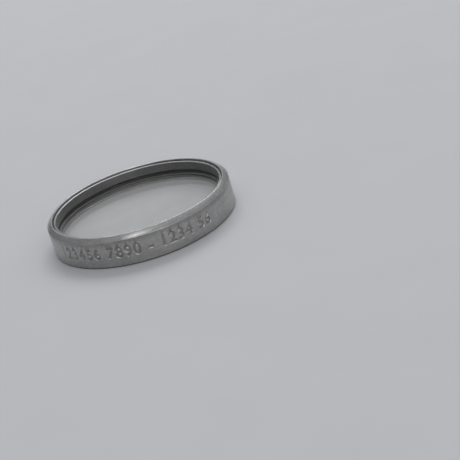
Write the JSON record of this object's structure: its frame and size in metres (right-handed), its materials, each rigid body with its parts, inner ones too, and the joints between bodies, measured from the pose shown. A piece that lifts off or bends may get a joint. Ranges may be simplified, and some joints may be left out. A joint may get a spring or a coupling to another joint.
{
  "type": "haze filter",
  "caption": "Small round slip-in lens filter: a turned aluminium mount ring holding a clear haze-glass disc under a thin pressed-in retaining ring.",
  "frame": {"origin": "centre of the rear face, on the optical axis, where the filter rests", "axes": "+Z along the optical axis, from the rear lip to the front edge with the retaining ring"},
  "size_m": [0.027, 0.027, 0.0045],
  "materials": {
    "mount_ring_aluminium": "satin, natural anodised",
    "retaining_ring_aluminium": "satin, turned",
    "haze_glass": "polished faces, blackened ground edge"
  },
  "bodies": {
    "root": {"mount_ring": "mount_ring_aluminium", "retaining_ring": "retaining_ring_aluminium", "filter_glass": "haze_glass"}
  },
  "joints": []
}
